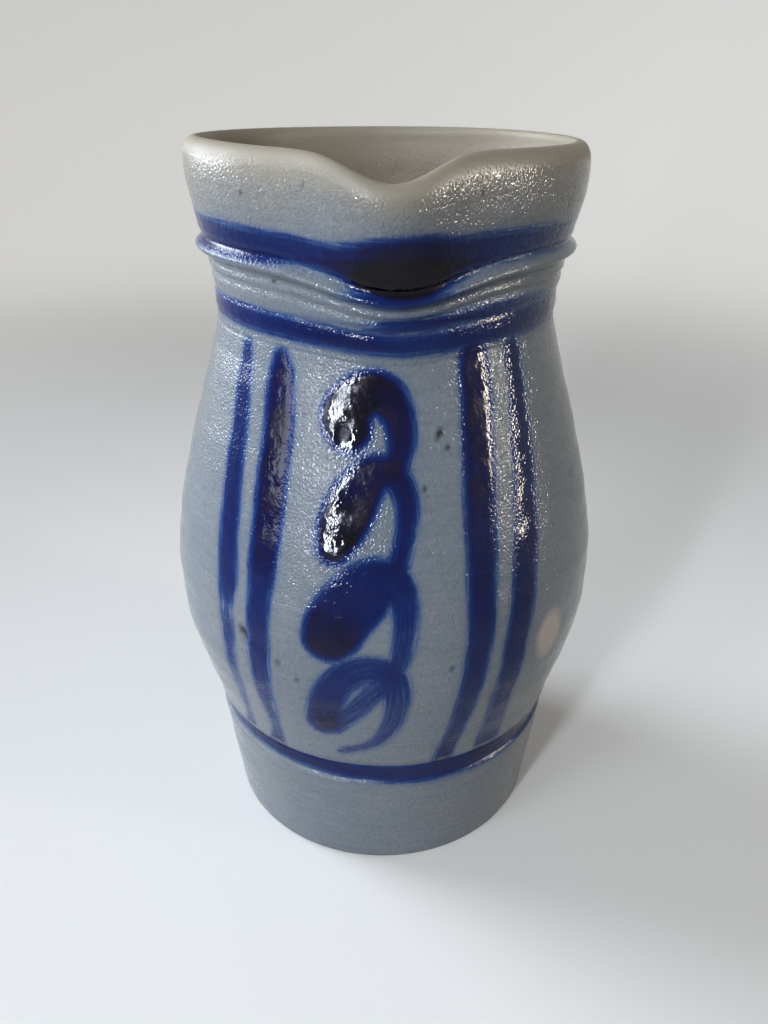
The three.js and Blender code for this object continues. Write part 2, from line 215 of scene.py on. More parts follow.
# The heights of the painting are those of a wall without its pull, which shifts them by this
# share of itself. Then how a stroke bleeds past its edge and how deep its core lies, in
# millimetres, the share of its load that the edge carries, how strokes add up where they
# cross, and the step along a stroke's path
PAINT_LEAN = -0.2
BLEED = 1.35
CORE = 1.8
EDGE_SHARE = 0.5
OVERLAP = 0.22
STROKE_STEP = 0.8

# Strokes are worked out in this many parts, on points up to this share of their reach away.
# The hairs of two strokes lie this far apart in the brush's own grain
STROKE_PARTS = 24
STROKE_SWEEP = 1.4
HAIR_OFFSET = 9.0

# Weights that ease the knots of a band into each other, one for each degree
EASE = np.hanning(9) / np.hanning(9).sum()

# How far cobalt fumes onto the clay beside a stroke, in millimetres, and its load there
FUME_REACH = 5
FUME = 0.07

# Loads between which cobalt fills a turned line, and between which it stands out of the clay
GATHERING_LOADS = (0.1, 0.5)
PROUD_LOADS = (0.6, 1.15)

# The spot where the glaze crawled: degrees, height, half width in degrees and half height,
# and how soft its edge is, as shares of them
BARE_SPOT = (46.5, 79.5, 5.6, 8.6)
BARE_EDGE = (-0.15, 0.4)

# How far a speck blurs, as a share of its size, and how deep the dry crest of the rim reaches
SPECK_BLUR = 1.5
CREST_REACH = 8 * MM

# Where a cloth smoothed the clay beside the lip: degrees, height and half width of the patch in
# millimetres, and the pitch of its lines, which climb at 45 degrees
CLOTH_PATCH = (16, 189, 3.6)
CLOTH_PITCH = 1.05 * MM

# Wobble of the wall: millimetres, waves round it and their phase
WOBBLE = ((0.22, 2, 0.7), (0.12, 3, 2.1))

# Throwing rings: millimetres, height of a radian of their wave, how they climb, and phase
RINGS = ((0.05, 1.35, 0.5, 0), (0.09, 2.9, -0.8, 1.2))
INSIDE_RINGS = (0.28, 1.25)

# Marks of the hands begin over the base, and those of the inside over the floor. Points this
# near to the axis stay on it
MARKS_BEGIN = 6 * MM
INSIDE_MARKS_BEGIN = 1 * MM
AXIS_REACH = 0.01 * MM

# The uneven rim, in millimetres: its lift, how far the front is tilted down, a slow wave as in
# WOBBLE, and a swell with its place and half width in radians. All of it gathers at the rim
RIM_LIFT = 0.3
RIM_TILT = 0.35
RIM_WAVE = (0.1, 3, 0.4)
RIM_SWELL = (0.6, -1.05, 0.55)
RIM_GATHER = 6

# How fast the pull of the lip gathers up the wall, where the collar starts to take over from
# the sag of the neck, and the middle of the cordon, both below the height of the collar
PULL_GATHER = 1.4
COLLAR_EASE = 2 * MM
CORDON_MIDDLE = 3 * MM

# How far the handles of a bend reach towards its one corner
BEND_HOLD = 2 / 3

# How the curves of the belly hold their direction, as shares of their height
BELLY_START_SLOPE = 0.26
BELLY_START_HOLD = 0.56
BELLY_END_HOLD = 0.43
SHOULDER_START_HOLD = 0.33
SHOULDER_END_HOLD = 0.1

# Where the crest of the lip stands, as a share of the wall from the outside, how far the lip
# is rounded inside, and how the neck leaves, the collar arrives and the collar turns upright
LIP_CREST_SHARE = 0.72
LIP_INSIDE = 3 * MM
NECK_LEAVES = Vector((-0.5 * MM, 7 * MM))
COLLAR_ARRIVES = Vector((1.6 * MM, 6 * MM))
COLLAR_UPRIGHT = Vector((0.2 * MM, 4 * MM))

# A point halfway down inside the floor, as shares of its thickness and of the base's radius,
# tells the outside of the base from the inside
FLOOR_MIDDLE = (0.5, 0.6)

# The edge over the foot, the hollow under the ledge, the corner of the inside, and the height
# of the throat over the neck with the hold of its curve
FOOT_EDGE = 1 * MM
LEDGE_HOLLOW = 0.7 * MM
INSIDE_CORNER = 11 * MM
THROAT_RISE = 13.5 * MM
THROAT_HOLD = 5 * MM

# Spacing of the points along the outline, the shares of their length at which flat parts have
# rings, and how the steps of a ring crowd to the front
BASE_EDGE_SPACING = 0.5 * MM
FOOT_EDGE_SPACING = 0.4 * MM
FOOT_SPACING = 1.6 * MM
BELLY_SPACING = 1.15 * MM
NECK_SPACING = 0.52 * MM
LIP_SPACING = 0.7 * MM
INSIDE_SPACING = 4.5 * MM
THROAT_SPACING = 1.5 * MM
CORNER_SPACING = 3 * MM
BASE_RINGS = (0, 0.3, 0.6, 0.85, 1)
FOOT_RINGS = (0.25, 0.5, 0.75, 1)
FLOOR_RINGS = (0.85, 0.65, 0.4, 0.2, 0)
RING_CROWDING = 0.6
MERGE_DISTANCE = 0.001 * MM

# The strap: points round it and along its three curves, how square its corners are, how its
# tail narrows and thins, how its root thickens, its flare at the landing as a share, its finger
# grooves, and how fast they deepen from the sides of its outer face
SECTION_STEPS = 56
STRAP_STEPS = (50, 44, 20)
SQUARENESS = 0.7
TAIL_NARROWING = 0.4
TAIL_THINNING = 0.5
ROOT_THICKENING = 0.7
LANDING_FLARE = 0.8
GROOVES = 2
OUTER_FACE = 1.6

# Where the thumb pressed the tail, as a share of it, the size of the mark, how far the root
# follows the wall, and between which shares of the tail its end starts to follow the wall
THUMB_PLACE = 0.75
THUMB_SIZE = 5 * MM
ROOT_REACH = 16 * MM
TAIL_REACH = (2.2, 1.2)


def from_hex(code):
    """A colour that is written as on a paint card, in Blender's linear values."""
    shares = [int(code[i:i + 2], 16) / 255 for i in (0, 2, 4)]
    linear = [c / 12.92 if c <= 0.04045 else ((c + 0.055) / 1.055) ** 2.4 for c in shares]
    return (*linear, 1.0)


def length(name, description, default):
    return FloatProperty(
        name=name, description=description, default=default, unit="LENGTH", precision=5)


def turn(name, description, degrees):
    return FloatProperty(
        name=name, description=description, default=math.radians(degrees), unit="ROTATION")


def colour(name, description, code):
    return FloatVectorProperty(
        name=name, description=description, default=from_hex(code), size=4,
        subtype="COLOR", min=0, max=1)


class JugBody(bpy.types.PropertyGroup):
    """Sizes of the thrown body"""

    rim_height: length("Rim Height", "Height of the rim over the table", BODY_HIGH.z)
    belly_radius: length("Belly Radius", "Radius at the widest part", BODY_HIGH.x)
    foot_height: length("Foot Height", "Height of the straight foot", 34.5 * MM)
    ledge_height: length("Ledge Height", "Height at which the belly starts", 42.5 * MM)
    widest_height: length("Widest Height", "Height of the widest part", 86 * MM)
    neck_height: length("Neck Height", "Height at which the neck starts", 158 * MM)
    cordon_height: length("Cordon Height", "Height at which the collar starts", 178.5 * MM)
    base_radius: length("Base Radius", "Radius of the base", 49.6 * MM)
    base_edge: length("Base Edge", "Rounding of the edge of the base", 0.8 * MM)
    foot_radius: length("Foot Radius", "Radius at the top of the foot", 53.4 * MM)
    waist_depth: length("Waist Depth", "Depth of the waist over the foot", 0.7 * MM)
    ledge_radius: length("Ledge Radius", "Radius at which the belly starts", 54.4 * MM)
    neck_radius: length("Neck Radius", "Radius at the narrowest part", 45.5 * MM)
    collar_radius: length("Collar Radius", "Radius over the cordon", 48.1 * MM)
    rim_radius: length("Rim Radius", "Radius of the lip", 50.9 * MM)
    lip_height: length("Lip Height", "Height of the rounded edge of the lip", 7 * MM)
    wall: length("Wall", "Thickness of the wall", 5 * MM)
    floor: length("Floor", "Thickness of the floor", 8 * MM)
    ring_steps: IntProperty(
        name="Ring Steps", description="Steps of the mesh round the body", default=328)


class JugLip(bpy.types.PropertyGroup):
    """How the pouring lip is pulled out of the collar"""

    pull: length("Pull", "How far the lip is pulled out", 9 * MM)
    pull_width: length("Pull Width", "Width of the pull along the rim", 30 * MM)
    pull_reach: length("Pull Reach", "How far below the rim the pull starts", 55 * MM)
    dip: length("Dip", "How deep the lip dips", 5.4 * MM)
    dip_width: length("Dip Width", "Width of the dip at the rim", 20 * MM)
    sag_width: length("Sag Width", "Width of the sag of the neck lines", 38 * MM)
    sag_reach: length("Sag Reach", "How fast the sag dies out below the cordon", 20 * MM)
    lean: turn("Lean", "Angle of the deepest sag from the front", 3.5)
    rim_lean: turn("Rim Lean", "Angle of the deepest dip of the rim from the front", 1.5)


class JugHandle(bpy.types.PropertyGroup):
    """Sizes of the pulled strap"""

    top_height: length("Top Height", "Height of the upper end", 183.5 * MM)
    reach: length("Reach", "Middle of the strap at its furthest", 84 * MM)
    bend_height: length("Bend Height", "Height of the furthest point", 157.5 * MM)
    landing_height: length("Landing Height", "Height of the landing", 107.5 * MM)
    tail: length("Tail", "Length that is pressed down below the landing", 15 * MM)
    width_top: length("Width at Top", "Width of the strap at the collar", 27 * MM)
    width_low: length("Width at Landing", "Width of the strap at its landing", 21 * MM)
    thickness: length("Thickness", "Thickness of the strap", 9.5 * MM)
    groove: length("Groove", "Depth of the finger grooves", 1.1 * MM)
    flare: length("Flare", "How much wider the strap is where it is luted on", 6 * MM)
    flare_length: length("Flare Length", "Length of the flare", 9 * MM)
    seat: length("Seat", "How deep the ends sit in the wall", 2.5 * MM)
    thumb: length("Thumb", "Depth of the thumb mark on the tail", 1.6 * MM)


class JugGlaze(bpy.types.PropertyGroup):
    """Colours and grain of the fired surface"""

    clay: colour("Clay", "Grey-blue of the glazed belly", "70777e")
    warm_clay: colour("Warm Clay", "Warmer grey of the collar and lip", "85827b")
    crest_clay: colour("Crest Clay", "Pale dry clay of the crest of the rim", "908878")
    # The dry inside's colour is set darker than the clay so that it holds painted shade deep in
    # the jug
    dry_clay_and_shade: colour("Dry Clay", "Brown grey of the dry inside", "8a7f6f")
    bare_spot: colour("Bare Spot", "Pale pinkish clay where the glaze crawled", "b8aaa2")
    iron: colour("Iron", "Dark iron specks", "141316")
    thin_blue: colour("Thin Blue", "Cobalt washed out at the edge of a stroke", "304b78")
    blue: colour("Blue", "Cobalt brushed on evenly", "011f59")
    deep_blue: colour("Deep Blue", "Cobalt that lies thick", "00043b")
    pool: colour("Pool", "Near-black cobalt that has run together", "000006")
    # Purple-brown of overfired cobalt, which also paints a purple sheen on the thick pools
    burnt_and_sheen: colour("Burnt Cobalt", "Purple-brown of overfired cobalt", "190a20")
    peel: length("Peel", "Size of the bumps of the salt glaze", 0.52 * MM)
    peel_depth: length("Peel Depth", "Height of the bumps", 0.24 * MM)
    relief: length("Relief", "How far thick cobalt stands out", 0.2 * MM)


class JugStage(bpy.types.PropertyGroup):
    """Camera, floor and light"""

    lens: FloatProperty(
        name="Lens", description="Focal length on a 36 mm sensor", default=28.98,
        unit="CAMERA")
    camera_back: length("Camera Back", "Distance from the axis of the jug", 226.9 * MM)
    camera_height: length("Camera Height", "Height over the table", 211.4 * MM)
    pitch: turn("Pitch", "How far the camera looks down", 27.34)
    roll: turn("Roll", "How far the camera is turned about its view", 0.42)
    backdrop: colour("Backdrop", "Colour of the floor and backdrop in the picture", "f0efec")
    bounce: colour("Bounce", "Their colour for the light that they throw back", "8c8a86")
    wall_glow: FloatProperty(
        name="Wall Glow", description="Strength that lifts the far floor and the wall",
        default=0.46)
    daylight: colour("Daylight", "Cool light of the left window", "ecf4ff")
    lamplight: colour("Lamplight", "Warm light of the right window", "fff4e4")


GROUPS = {
    "jug_body": JugBody,
    "jug_lip": JugLip,
    "jug_handle": JugHandle,
    "jug_glaze": JugGlaze,
    "jug_stage": JugStage,
}


def curve(start, leave, arrive, end, spacing):
    """A Bezier curve of (radius, height) points without its first one."""
    count = max(3, round((end - start).length / spacing) + 1)
    return [Vector(p[:2]) for p in interpolate_bezier(start, leave, arrive, end, count)][1:]


def bend(start, corner, end, spacing):
    """A curve that leaves one point and reaches another along the sides of one corner."""
    leave, arrive = (point.lerp(corner, BEND_HOLD) for point in (start, end))
    return curve(start, leave, arrive, end, spacing)


def belly_curve(jug, inset, spacing):
    """The swelling belly and the shoulder from the ledge up to the neck."""
    rise = jug.widest_height - jug.ledge_height
    fall = jug.neck_height - jug.widest_height
    start = Vector((jug.ledge_radius - inset, jug.ledge_height))
    widest = Vector((jug.belly_radius - inset, jug.widest_height))
    neck = Vector((jug.neck_radius - inset, jug.neck_height))
    hold = BELLY_START_HOLD * rise
    lower = curve(
        start, start + Vector((hold * BELLY_START_SLOPE, hold)),
        widest - Vector((0, BELLY_END_HOLD * rise)), widest, spacing)
    upper = curve(
        widest, widest + Vector((0, SHOULDER_START_HOLD * fall)),
        neck - Vector((0, SHOULDER_END_HOLD * fall)), neck, spacing)
    return [start, *lower, *upper]


def lip_crest(jug):
    return Vector((jug.rim_radius - LIP_CREST_SHARE * jug.wall, jug.rim_height))


def outside_outline(jug):
    """The outside from the centre of the base to the crest of the lip."""
    base = Vector((jug.base_radius - jug.base_edge, 0))
    base_top = Vector((jug.base_radius, jug.base_edge))
    foot_top = Vector((jug.foot_radius, jug.foot_height - FOOT_EDGE))
    waist = Vector((jug.foot_radius - jug.waist_depth, jug.foot_height))
    belly = belly_curve(jug, 0, BELLY_SPACING)
    neck = belly[-1]
    cordon = Vector((jug.collar_radius, jug.cordon_height))
    lip = Vector((jug.rim_radius, jug.rim_height - jug.lip_height))
    crest = lip_crest(jug)
    straight = (foot_top - base_top).length
    steps = round(straight / FOOT_SPACING)
    return [
        *(base * part for part in BASE_RINGS),
        *bend(base, Vector((base_top.x, 0)), base_top, BASE_EDGE_SPACING),
        *(base_top.lerp(foot_top, step / steps) for step in range(1, steps + 1)),
        *bend(foot_top, Vector((foot_top.x, waist.y)), waist, FOOT_EDGE_SPACING),
        *bend(waist, Vector((waist.x, belly[0].y - LEDGE_HOLLOW)), belly[0], NECK_SPACING),
        *belly[1:],
        *curve(neck, neck + NECK_LEAVES, cordon - COLLAR_ARRIVES, cordon, NECK_SPACING),
        *bend(cordon, lip - COLLAR_UPRIGHT, lip, NECK_SPACING),
        *bend(lip, Vector((lip.x, crest.y)), crest, LIP_SPACING),
    ]


def inside_outline(jug):
    """The inside from below the crest of the lip to the centre of the floor."""
    crest = lip_crest(jug)
    lip_end = Vector((jug.rim_radius - jug.wall, jug.rim_height - LIP_INSIDE))
    belly = belly_curve(jug, jug.wall, INSIDE_SPACING)
    throat = belly[-1] + Vector((0, THROAT_RISE))
    floor_radius = jug.base_radius - jug.wall
    corner_top = Vector((floor_radius, jug.floor + INSIDE_CORNER))
    corner_end = Vector((floor_radius - INSIDE_CORNER, jug.floor))
    return [
        *bend(crest, Vector((lip_end.x, crest.y)), lip_end, LIP_SPACING),
        *bend(lip_end, Vector((jug.collar_radius - jug.wall, throat.y + THROAT_HOLD)), throat,
              THROAT_SPACING),
        *reversed(belly),
        *(belly[0].lerp(corner_top, part) for part in FOOT_RINGS),
        *bend(corner_top, Vector((floor_radius, jug.floor)), corner_end, CORNER_SPACING),
        *(Vector((corner_end.x * part, jug.floor)) for part in FLOOR_RINGS),
    ]


def wall_radius(jug):
    """The outer radius of the wall at a height, as a function."""
    outline = [p for p in outside_outline(jug) if p.y > 0]
    heights = [p.y for p in outline]
    radii = [p.x for p in outline]
    return lambda height: np.interp(height, heights, radii)


def turned_shell(outline, steps):
    """A bmesh that is turned about the axis from one outline."""
    bm = bmesh.new()
    points = [bm.verts.new((0, -radius, height)) for radius, height in outline]
    for low, high in zip(points, points[1:]):
        bm.edges.new((low, high))
    bmesh.ops.spin(
        bm, geom=bm.verts[:] + bm.edges[:], cent=(0, 0, 0), axis=(0, 0, 1),
        angle=2 * math.pi, steps=steps, use_merge=True)
    bmesh.ops.remove_doubles(bm, verts=bm.verts[:], dist=MERGE_DISTANCE)
    bmesh.ops.recalc_face_normals(bm, faces=bm.faces[:])
    return bm


def finished(name, bm):
    """A new smooth object from a bmesh, at the origin of the frame."""
    mesh = bpy.data.meshes.new(name)
    bm.to_mesh(mesh)
    bm.free()
    mesh.shade_smooth()
    piece = bpy.data.objects.new(name, mesh)
    bpy.context.scene.collection.objects.link(piece)
    return piece


def points_of(mesh):
    flat = np.empty(len(mesh.vertices) * 3)
    mesh.vertices.foreach_get("co", flat)
    return flat.reshape(-1, 3)


def move_points(mesh, points):
    mesh.vertices.foreach_set("co", points.ravel())
    mesh.update()


def smooth_step(value, low, high):
    t = np.clip((value - low) / (high - low), 0, 1)
    return t * t * (3 - 2 * t)


def bell(distance, half_width):
    return np.exp(-(distance / half_width) ** 2)


def lip_moves(jug, lip, around, height):
    """How far the pull draws each point out, and how far the sag draws it down."""
    along_rim = jug.rim_radius * around
    up_collar = smooth_step(height, jug.cordon_height - COLLAR_EASE, jug.rim_height)
    width = lip.sag_width + (lip.dip_width - lip.sag_width) * up_collar
    lean = jug.rim_radius * (lip.lean + (lip.rim_lean - lip.lean) * up_collar)
    gathered = np.clip(1 - (jug.rim_height - height) / lip.pull_reach, 0, 1)
    pull = lip.pull * bell(along_rim, lip.pull_width / 2) * gathered ** PULL_GATHER
    below_cordon = np.maximum(jug.cordon_height - CORDON_MIDDLE - height, 0)
    dip = lip.dip * bell(along_rim - lean, width / 2) * np.exp(-below_cordon / lip.sag_reach)
    return pull, dip


def hand_marks(jug, around, height):
    """What the hands leave in a thrown wall: rings, a little wobble and an uneven rim."""
    wobble = sum(
        size * np.sin(waves * around + phase) for size, waves, phase in WOBBLE)
    rings = sum(
        size * np.sin(height / (pitch * MM) + climb * around + phase)
        for size, pitch, climb, phase in RINGS)
    size, waves, phase = RIM_WAVE
    lift = RIM_LIFT - RIM_TILT * np.cos(around) + size * np.sin(waves * around + phase)
    swell, middle, half = RIM_SWELL
    lift = lift + swell * bell(around - middle, half)
    rise = np.clip(height / jug.rim_height, 0, 1)
    return (wobble * rise + rings) * MM, lift * MM * rise ** RIM_GATHER


def inside_marks(around, height):
    """Throwing rings of the inside, which climb as a spiral."""
    size, pitch = INSIDE_RINGS
    return size * MM * np.sin(height / (pitch * MM) + around)


def is_outside(jug, radius, height):
    """True for the points of the outer wall, told by the middle of the wall's thickness."""
    belly = belly_curve(jug, jug.wall / 2, BELLY_SPACING)
    half = jug.wall / 2
    down, across = FLOOR_MIDDLE
    middle = [
        (0, 0), (across * jug.base_radius, down * jug.floor),
        (jug.base_radius - half, jug.floor), *belly,
        (jug.collar_radius - half, jug.cordon_height),
        (jug.rim_radius - half, jug.rim_height - jug.lip_height), lip_crest(jug)]
    radii, heights = zip(*middle)
    return radius > np.interp(height, heights, radii)


def throw_body(jug, lip):
    """The body turned from its outline, then marked by hand and pulled into its lip.

    Also gives which points are outside, their angle from the lip and how far each was pulled.
    """
    piece = finished(
        "thrown_body", turned_shell(outside_outline(jug) + inside_outline(jug), jug.ring_steps))
    x, y, height = points_of(piece.data).T
    radius = np.hypot(x, y)
    even = np.arctan2(x, -y)
    around = even - RING_CROWDING * np.sin(even)
    outer = is_outside(jug, radius, height)
    marks, lift = hand_marks(jug, around, height)
    relief = sum(
        stand * MM * bell(height - level * MM, half * MM)
        for level, stand, half in TURNED_LINES.values())
    marked = height > jug.floor + INSIDE_MARKS_BEGIN
    rough = np.where(marked, inside_marks(around, height), 0)
    radial = marks * smooth_step(height, 0, MARKS_BEGIN) + np.where(outer, relief, rough)
    pull, dip = lip_moves(jug, lip, around, height)
    radius = np.where(radius > AXIS_REACH, radius + radial + pull, 0)
    height = height + lift - dip
    move_points(piece.data, np.stack(
        [radius * np.sin(around), -radius * np.cos(around), height], axis=1))
    return piece, outer, around, pull


def through(knots, spacing):
    """A smooth path through knots, sampled at about one spacing."""
    knots = np.array(knots, float)
    ends = np.vstack([2 * knots[0] - knots[1], knots, 2 * knots[-1] - knots[-2]])
    pieces = []
    for a, b, c, d in zip(ends, ends[1:], ends[2:], ends[3:]):
        count = max(2, int(np.hypot(*(c - b)[:2]) / spacing))
        t = np.linspace(0, 1, count, endpoint=False)[:, None]
        pieces.append(
            0.5 * (2 * b + (c - a) * t + (2 * a - 5 * b + 4 * c - d) * t ** 2
                   + (3 * b - a - 3 * c + d) * t ** 3))
    return np.vstack([*pieces, knots[-1:]])


def brushed(depth, load):
    """Load across a stroke: it bleeds past its edge and lies thickest along its middle."""
    edge = smooth_step(depth, -BLEED, 0.5 * BLEED)
    core = smooth_step(depth, 0, CORE)
    fume = FUME * smooth_step(depth, -FUME_REACH, 0) ** 2
    return load * (EDGE_SHARE * edge + (1 - EDGE_SHARE) * core + fume)


def stroke_field(knots, around, height, radius):
    """Load of one stroke on each point, how far it is off the middle and along the stroke."""
    middle = np.median(radius)
    path = through([(math.radians(a) * middle, z, w, load) for a, z, w, load in knots],
                   STROKE_STEP)
    turned = path[:, 0] / middle
    reach = path[:, 2].max() + FUME_REACH
    sweep = STROKE_SWEEP * reach / middle
    near = (height > path[:, 1].min() - reach) & (height < path[:, 1].max() + reach)
    near &= (around > turned.min() - sweep) & (around < turned.max() + sweep)
    steps = np.gradient(path[:, :2], axis=0)
    lengths = np.linalg.norm(steps, axis=1)
    tangents = steps / lengths[:, None]
    run = np.cumsum(lengths)
    load, off, along = np.zeros((3, len(around)))
    for part in np.array_split(np.flatnonzero(near), STROKE_PARTS):
        du = radius[part, None] * (around[part, None] - turned)
        dv = height[part, None] - path[:, 1]
        depth = path[:, 2] - np.hypot(du, dv)
        best = depth.argmax(axis=1)
        row = np.arange(len(part))
        load[part] = brushed(depth[row, best], path[best, 3])
        off[part] = du[row, best] * tangents[best, 1] - dv[row, best] * tangents[best, 0]
        along[part] = run[best]
    return load, off, along


def band_field(knots, around, height, radius):
    """The same three numbers for a band that runs all the way round."""
    places, *columns = np.array(knots, float).T
    grid = np.arange(-180, 181)
    ends = len(EASE) // 2
    level, width, load = (
        np.interp(np.degrees(around), grid, np.convolve(
            np.pad(np.interp(grid, places, column), ends, mode="edge"), EASE, mode="valid"))
        for column in columns)
    off = height - level
    return brushed(width - np.abs(off), load), off, radius * around


def depth_of(points, around):
    """How deep each point lies below the crest of the rim above it."""
    slot = np.round(np.degrees(around)).astype(int) % 360
    crest = np.zeros(360)
    np.maximum.at(crest, slot, points[:, 2])
    return crest[slot] - points[:, 2]


def paint(body, glaze, outer, around, pull):
    """Cobalt, brush lines, iron specks and the bare spot, as attributes of the body."""
    mesh = body.data
    points = points_of(mesh)
    radius = np.hypot(points[:, 0], points[:, 1]) / MM
    height = (points[:, 2] + PAINT_LEAN * pull) / MM
    cobalt = np.zeros(len(points))
    brush = np.zeros((len(points), 3))
    fields = [(stroke_field, knots) for knots in STROKES.values()]
    fields += [(band_field, knots) for knots in BANDS.values()]
    for number, (field, knots) in enumerate(fields):
        load, off, along = field(knots, around, height, radius)
        own = load > cobalt
        grain = np.full(own.sum(), HAIR_OFFSET * number)
        brush[own] = np.stack([off[own], along[own], grain], axis=1)
        cobalt = np.maximum(cobalt, load) + OVERLAP * cobalt * load
    for level, half, load in GATHERED.values():
        filling = smooth_step(cobalt, *GATHERING_LOADS)
        cobalt = cobalt + load * filling * bell(height - level, half)

    def away_from(degrees, level):
        """How far each point is from a place on the wall, in millimetres."""
        return np.hypot(radius * (around - math.radians(degrees)), height - level)

    speck = sum(smooth_step(away_from(a, z), SPECK_BLUR * size, 0) for a, z, size in SPECKS)
    middle, level, wide, tall = BARE_SPOT
    bare = smooth_step(1 - np.hypot(
        (np.degrees(around) - middle) / wide, (height - level) / tall), *BARE_EDGE)
    crest = smooth_step(depth_of(points, around), CREST_REACH, 0)
    middle, level, half = CLOTH_PATCH
    cloth = bell(away_from(middle, level), half)
    values = {
        "cobalt": np.where(outer, cobalt, 0),
        "speck": np.where(outer, speck, 0),
        "bare": np.where(outer, bare, 0),
        "inside": np.where(outer, 0, 1),
        "crest": crest,
        "cloth": np.where(outer, cloth, 0),
    }
    for name, numbers in values.items():
        layer = mesh.attributes.new(name, "FLOAT", "POINT")
        layer.data.foreach_set("value", numbers.astype(np.float32))
    layer = mesh.attributes.new("brush", "FLOAT_VECTOR", "POINT")
    layer.data.foreach_set("vector", brush.astype(np.float32).ravel())
    proud = glaze.relief * smooth_step(cobalt, *PROUD_LOADS)
    for a, z, half, stand in BLEMISHES.values():
        proud = proud + stand * MM * bell(away_from(a, z), half)
    out = np.stack([np.sin(around), -np.cos(around), np.zeros(len(around))], axis=1)
    move_points(mesh, points + out * np.where(outer, proud, 0)[:, None])


def handle_path(jug, handle):
    """Middle line of the strap from inside the collar to the end of the pressed tail."""

    def at(y, z):
        return Vector((0, y, z))

    wall = wall_radius(jug)
    top = handle.top_height
    landing = handle.landing_height
    end = landing - handle.tail
    half = handle.thickness / 2
    fall = handle.bend_height - landing
    start = at(wall(top) - handle.seat, top)
    far = at(handle.reach, handle.bend_height)
    land = at(wall(landing) + half / 2, landing)
    tail = at(wall(end) - handle.seat, end)
    corner = at(land.y - half / 2, landing - handle.tail / 2)
    curves = (
        (start, at((start.y + far.y) / 2, top + half), at(far.y, top + half), far),
        (far, at(far.y, far.z - fall / 2), at(land.y + half, landing + fall / 3), land),
        (land, land.lerp(corner, BEND_HOLD), tail.lerp(corner, BEND_HOLD), tail),
    )
    path = [start]
    for curve_ends, steps in zip(curves, STRAP_STEPS):
        path += interpolate_bezier(*curve_ends, steps)[1:]
    return path


def strap_section(handle, run, whole):
    """(across, out) of one ring of the strap, with finger grooves along its outer face."""
    to_tail = whole - run
    tail = 1 - np.clip(to_tail / handle.tail, 0, 1)
    flare = handle.flare * bell(run - handle.seat, handle.flare_length)
    landed = to_tail - LANDING_FLARE * handle.tail
    low_flare = LANDING_FLARE * handle.flare * bell(landed, handle.flare_length)
    strap = handle.width_top + (handle.width_low - handle.width_top) * run / whole
    width = (strap + flare + low_flare) * (1 - TAIL_NARROWING * tail ** 3)
    thickness = handle.thickness * (1 - TAIL_THINNING * tail) + ROOT_THICKENING * flare
    round_it = np.linspace(0, 2 * math.pi, SECTION_STEPS, endpoint=False)
    cosine, sine = np.cos(round_it), np.sin(round_it)
    across = np.sign(cosine) * np.abs(cosine) ** SQUARENESS * width / 2
    out = np.sign(sine) * np.abs(sine) ** SQUARENESS * thickness / 2
    outer_face = np.clip(OUTER_FACE * sine, 0, 1)
    groove = handle.groove * (1 - np.cos(2 * math.pi * GROOVES * across / width)) / 2
    pressed = bell(to_tail - THUMB_PLACE * handle.tail, THUMB_SIZE) * bell(across, THUMB_SIZE)
    return across, out - outer_face * (groove * (1 - tail) + handle.thumb * pressed)


def pull_handle(jug, handle):
    """The strap, drawn out ring by ring and pressed onto the wall at both ends."""
    path = handle_path(jug, handle)
    wall = wall_radius(jug)
    run = np.cumsum([0, *((b - a).length for a, b in zip(path, path[1:]))])
    whole = run[-1]
    bm = bmesh.new()
    ring = bmesh.ops.create_circle(
        bm, cap_ends=True, segments=SECTION_STEPS, radius=handle.thickness)["verts"]
    edges = bm.edges[:]
    for step, centre in enumerate(path):
        if step:
            grown = bmesh.ops.extrude_edge_only(bm, edges=edges)["geom"]
            ring = [part for part in grown if isinstance(part, bmesh.types.BMVert)]
            edges = [part for part in grown if isinstance(part, bmesh.types.BMEdge)
                     and part.verts[0] in ring and part.verts[1] in ring]
        tangent = (path[min(step + 1, len(path) - 1)] - path[max(step - 1, 0)]).normalized()
        across, out = strap_section(handle, run[step], whole)
        x = across
        y = centre.y - tangent.z * out
        z = centre.z + tangent.y * out
        on_wall = np.sqrt(wall(z) ** 2 - x ** 2)
        at_top = smooth_step(run[step], ROOT_REACH, 0)
        at_tail = smooth_step(
            whole - run[step], *(share * handle.tail for share in TAIL_REACH))
        y = y + at_top * (on_wall + run[step] - handle.seat - y)
        y = y - at_tail * (wall(z) - on_wall)
        for vert, place in zip(ring, zip(x, y, z)):
            vert.co = place
    bmesh.ops.contextual_create(bm, geom=edges)
    bmesh.ops.recalc_face_normals(bm, faces=bm.faces[:])
    return finished("strap_handle", bm)


def new_group(name, inputs, outputs):
    """A shader node group with named sockets, its input sockets and its output sockets."""
    group = bpy.data.node_groups.new(name, "ShaderNodeTree")
    for label, kind, default in inputs:
        socket = group.interface.new_socket(label, in_out="INPUT", socket_type=kind)
        if default is not None:
            socket.default_value = default
    for label, kind in outputs:
        group.interface.new_socket(label, in_out="OUTPUT", socket_type=kind)
    given = group.nodes.new("NodeGroupInput").outputs
    result = group.nodes.new("NodeGroupOutput").inputs
    return group, given, result


